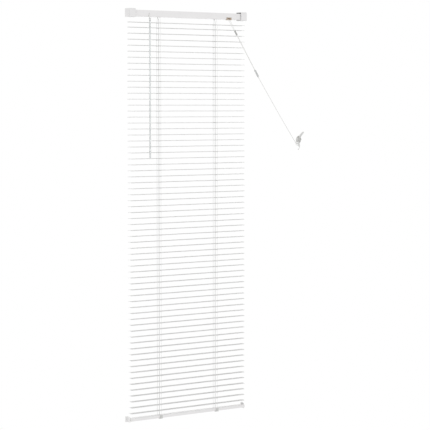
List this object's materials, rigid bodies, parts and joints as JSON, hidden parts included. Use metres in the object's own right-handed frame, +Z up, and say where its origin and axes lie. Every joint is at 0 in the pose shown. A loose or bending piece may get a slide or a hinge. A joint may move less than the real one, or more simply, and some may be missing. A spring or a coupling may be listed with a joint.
{
  "type": "venetian blind",
  "caption": "Horizontal-slat window blind with a box headrail, tilt wand, string ladders, cord lock, bottom rail and a wall cleat.",
  "frame": {"origin": "on the plane of the end brackets' top faces, over the middle of the slats' length and width", "axes": "+X along the slats towards the pull cord, -Y into the room, +Z up"},
  "size_m": [0.8951, 0.0384, 1.6355],
  "materials": {
    "slat_paint": "satin white baked enamel on aluminium",
    "steel_paint": "satin white baked enamel on roll-formed steel",
    "bracket_steel": "light grey painted steel",
    "zinc_steel": "zinc plated",
    "bronze": "dull bronze",
    "white_plastic": "moulded",
    "grey_plastic": "moulded",
    "clear_plastic": "translucent, glossy",
    "cord": "braided polyester"
  },
  "bodies": {
    "root": {"headrail": "steel_paint", "bracket_left": "steel_paint", "bracket_right": "steel_paint", "cradle_left": "grey_plastic", "cradle_right": "grey_plastic", "tilter_housing": "grey_plastic", "cord_lock_housing": "bronze", "lift_cord_left": "cord", "lift_cord_right": "cord", "pull_cord_a": "cord", "pull_cord_b": "cord", "pull_cord_tail": "cord", "cord_winding": "cord", "cord_stop": "grey_plastic", "cord_connector": "clear_plastic", "cleat": "white_plastic", "hold_down_left": "bracket_steel", "hold_down_right": "bracket_steel"},
    "tilt_rod": {"tilt_rod": "zinc_steel", "drum_left": "grey_plastic", "drum_right": "grey_plastic", "tilter_gear": "grey_plastic"},
    "tilter_worm": {"tilter_worm": "grey_plastic"},
    "wand_link": {"wand_link": "clear_plastic"},
    "wand": {"wand": "clear_plastic"},
    "ladder_front": {"ladder_front_left": "cord", "ladder_front_right": "cord"},
    "ladder_rear": {"ladder_rear_left": "cord", "ladder_rear_right": "cord"},
    "bottom_rail": {"bottom_rail": "steel_paint", "rail_cap_left": "white_plastic", "rail_cap_right": "white_plastic", "rail_button_left": "grey_plastic", "rail_button_right": "grey_plastic"},
    "bracket_door_left": {"bracket_door_left": "steel_paint"},
    "bracket_door_right": {"bracket_door_right": "steel_paint"},
    "lock_roller": {"lock_roller": "zinc_steel"},
    "lock_pawl": {"lock_pawl": "zinc_steel"},
    "slat_02": {"slat_02": "slat_paint"},
    "slat_05": {"slat_05": "slat_paint"},
    "slat_08": {"slat_08": "slat_paint"},
    "slat_11": {"slat_11": "slat_paint"},
    "slat_14": {"slat_14": "slat_paint"},
    "slat_17": {"slat_17": "slat_paint"},
    "slat_20": {"slat_20": "slat_paint"},
    "slat_23": {"slat_23": "slat_paint"},
    "slat_26": {"slat_26": "slat_paint"},
    "slat_29": {"slat_29": "slat_paint"},
    "slat_32": {"slat_32": "slat_paint"},
    "slat_35": {"slat_35": "slat_paint"},
    "slat_38": {"slat_38": "slat_paint"},
    "slat_41": {"slat_41": "slat_paint"},
    "slat_44": {"slat_44": "slat_paint"},
    "slat_47": {"slat_47": "slat_paint"},
    "slat_50": {"slat_50": "slat_paint"},
    "slat_53": {"slat_53": "slat_paint"},
    "slat_56": {"slat_56": "slat_paint"},
    "slat_59": {"slat_59": "slat_paint"},
    "slat_62": {"slat_62": "slat_paint"},
    "slat_65": {"slat_65": "slat_paint"}
  },
  "joints": [
    {"name": "tilt", "type": "hinge", "parent": "root", "child": "tilt_rod", "pos_m": [0, 0, -0.0175], "axis": [1, 0, 0], "range_deg": [-75, 75]},
    {"name": "worm_spin", "type": "hinge", "parent": "root", "child": "tilter_worm", "pos_m": [-0.195, -0.01829, -0.03733], "axis": [0, -0.4226, -0.9063], "range_deg": [-1055, 1055]},
    {"name": "wand_swing", "type": "hinge", "parent": "root", "child": "wand_link", "pos_m": [-0.195, -0.01829, -0.03733], "axis": [-1, 0, 0], "range_deg": [0, 60]},
    {"name": "wand_spin", "type": "hinge", "parent": "wand_link", "child": "wand", "pos_m": [-0.195, -0.01829, -0.04963], "axis": [0, 0, -1], "range_deg": [-1055, 1055]},
    {"name": "ladder_front_slide", "type": "slide", "parent": "root", "child": "ladder_front", "axis": [0, 0, 1], "range_m": [-0.0122, 0.0122]},
    {"name": "ladder_rear_slide", "type": "slide", "parent": "ladder_front", "child": "ladder_rear", "axis": [0, 0, 1], "range_m": [-0.0244, 0.0244]},
    {"name": "bottom_rail_tilt", "type": "hinge", "parent": "root", "child": "bottom_rail", "pos_m": [0, 0, -1.6255], "axis": [1, 0, 0], "range_deg": [-46, 46]},
    {"name": "door_left_hinge", "type": "hinge", "parent": "root", "child": "bracket_door_left", "pos_m": [0, -0.0159, -0.0334], "axis": [1, 0, 0], "range_deg": [0, 110]},
    {"name": "door_right_hinge", "type": "hinge", "parent": "root", "child": "bracket_door_right", "pos_m": [0, -0.0159, -0.0334], "axis": [1, 0, 0], "range_deg": [0, 110]},
    {"name": "roller_spin", "type": "hinge", "parent": "root", "child": "lock_roller", "pos_m": [0.201, -0.0035, -0.022], "axis": [1, 0, 0], "continuous": true},
    {"name": "pawl_swing", "type": "hinge", "parent": "root", "child": "lock_pawl", "pos_m": [0.201, 0.0032, -0.0135], "axis": [1, 0, 0], "range_deg": [0, 18]},
    {"name": "slat_02_tilt", "type": "hinge", "parent": "root", "child": "slat_02", "pos_m": [0, 0, -0.0734], "axis": [1, 0, 0], "range_deg": [-66, 66]},
    {"name": "slat_05_tilt", "type": "hinge", "parent": "root", "child": "slat_05", "pos_m": [0, 0, -0.1439], "axis": [1, 0, 0], "range_deg": [-66, 66]},
    {"name": "slat_08_tilt", "type": "hinge", "parent": "root", "child": "slat_08", "pos_m": [0, 0, -0.2144], "axis": [1, 0, 0], "range_deg": [-66, 66]},
    {"name": "slat_11_tilt", "type": "hinge", "parent": "root", "child": "slat_11", "pos_m": [0, 0, -0.2849], "axis": [1, 0, 0], "range_deg": [-66, 66]},
    {"name": "slat_14_tilt", "type": "hinge", "parent": "root", "child": "slat_14", "pos_m": [0, 0, -0.3554], "axis": [1, 0, 0], "range_deg": [-66, 66]},
    {"name": "slat_17_tilt", "type": "hinge", "parent": "root", "child": "slat_17", "pos_m": [0, 0, -0.4259], "axis": [1, 0, 0], "range_deg": [-66, 66]},
    {"name": "slat_20_tilt", "type": "hinge", "parent": "root", "child": "slat_20", "pos_m": [0, 0, -0.4964], "axis": [1, 0, 0], "range_deg": [-66, 66]},
    {"name": "slat_23_tilt", "type": "hinge", "parent": "root", "child": "slat_23", "pos_m": [0, 0, -0.5669], "axis": [1, 0, 0], "range_deg": [-66, 66]},
    {"name": "slat_26_tilt", "type": "hinge", "parent": "root", "child": "slat_26", "pos_m": [0, 0, -0.6374], "axis": [1, 0, 0], "range_deg": [-66, 66]},
    {"name": "slat_29_tilt", "type": "hinge", "parent": "root", "child": "slat_29", "pos_m": [0, 0, -0.7079], "axis": [1, 0, 0], "range_deg": [-66, 66]},
    {"name": "slat_32_tilt", "type": "hinge", "parent": "root", "child": "slat_32", "pos_m": [0, 0, -0.7784], "axis": [1, 0, 0], "range_deg": [-66, 66]},
    {"name": "slat_35_tilt", "type": "hinge", "parent": "root", "child": "slat_35", "pos_m": [0, 0, -0.8489], "axis": [1, 0, 0], "range_deg": [-66, 66]},
    {"name": "slat_38_tilt", "type": "hinge", "parent": "root", "child": "slat_38", "pos_m": [0, 0, -0.9194], "axis": [1, 0, 0], "range_deg": [-66, 66]},
    {"name": "slat_41_tilt", "type": "hinge", "parent": "root", "child": "slat_41", "pos_m": [0, 0, -0.9899], "axis": [1, 0, 0], "range_deg": [-66, 66]},
    {"name": "slat_44_tilt", "type": "hinge", "parent": "root", "child": "slat_44", "pos_m": [0, 0, -1.0604], "axis": [1, 0, 0], "range_deg": [-66, 66]},
    {"name": "slat_47_tilt", "type": "hinge", "parent": "root", "child": "slat_47", "pos_m": [0, 0, -1.1309], "axis": [1, 0, 0], "range_deg": [-66, 66]},
    {"name": "slat_50_tilt", "type": "hinge", "parent": "root", "child": "slat_50", "pos_m": [0, 0, -1.2014], "axis": [1, 0, 0], "range_deg": [-66, 66]},
    {"name": "slat_53_tilt", "type": "hinge", "parent": "root", "child": "slat_53", "pos_m": [0, 0, -1.2719], "axis": [1, 0, 0], "range_deg": [-66, 66]},
    {"name": "slat_56_tilt", "type": "hinge", "parent": "root", "child": "slat_56", "pos_m": [0, 0, -1.3424], "axis": [1, 0, 0], "range_deg": [-66, 66]},
    {"name": "slat_59_tilt", "type": "hinge", "parent": "root", "child": "slat_59", "pos_m": [0, 0, -1.4129], "axis": [1, 0, 0], "range_deg": [-66, 66]},
    {"name": "slat_62_tilt", "type": "hinge", "parent": "root", "child": "slat_62", "pos_m": [0, 0, -1.4834], "axis": [1, 0, 0], "range_deg": [-66, 66]},
    {"name": "slat_65_tilt", "type": "hinge", "parent": "root", "child": "slat_65", "pos_m": [0, 0, -1.5539], "axis": [1, 0, 0], "range_deg": [-66, 66]}
  ],
  "couplings": [
    {"joint": "worm_spin", "follows": "tilt", "ratio": 14},
    {"joint": "wand_spin", "follows": "tilt", "ratio": 14},
    {"joint": "ladder_front_slide", "follows": "tilt", "m_per_rad": -0.009},
    {"joint": "ladder_rear_slide", "follows": "tilt", "m_per_rad": 0.018},
    {"joint": "bottom_rail_tilt", "follows": "tilt", "ratio": 0.6},
    {"joint": "slat_02_tilt", "follows": "tilt", "ratio": 0.8667},
    {"joint": "slat_05_tilt", "follows": "tilt", "ratio": 0.8667},
    {"joint": "slat_08_tilt", "follows": "tilt", "ratio": 0.8667},
    {"joint": "slat_11_tilt", "follows": "tilt", "ratio": 0.8667},
    {"joint": "slat_14_tilt", "follows": "tilt", "ratio": 0.8667},
    {"joint": "slat_17_tilt", "follows": "tilt", "ratio": 0.8667},
    {"joint": "slat_20_tilt", "follows": "tilt", "ratio": 0.8667},
    {"joint": "slat_23_tilt", "follows": "tilt", "ratio": 0.8667},
    {"joint": "slat_26_tilt", "follows": "tilt", "ratio": 0.8667},
    {"joint": "slat_29_tilt", "follows": "tilt", "ratio": 0.8667},
    {"joint": "slat_32_tilt", "follows": "tilt", "ratio": 0.8667},
    {"joint": "slat_35_tilt", "follows": "tilt", "ratio": 0.8667},
    {"joint": "slat_38_tilt", "follows": "tilt", "ratio": 0.8667},
    {"joint": "slat_41_tilt", "follows": "tilt", "ratio": 0.8667},
    {"joint": "slat_44_tilt", "follows": "tilt", "ratio": 0.8667},
    {"joint": "slat_47_tilt", "follows": "tilt", "ratio": 0.8667},
    {"joint": "slat_50_tilt", "follows": "tilt", "ratio": 0.8667},
    {"joint": "slat_53_tilt", "follows": "tilt", "ratio": 0.8667},
    {"joint": "slat_56_tilt", "follows": "tilt", "ratio": 0.8667},
    {"joint": "slat_59_tilt", "follows": "tilt", "ratio": 0.8667},
    {"joint": "slat_62_tilt", "follows": "tilt", "ratio": 0.8667},
    {"joint": "slat_65_tilt", "follows": "tilt", "ratio": 0.8667}
  ]
}
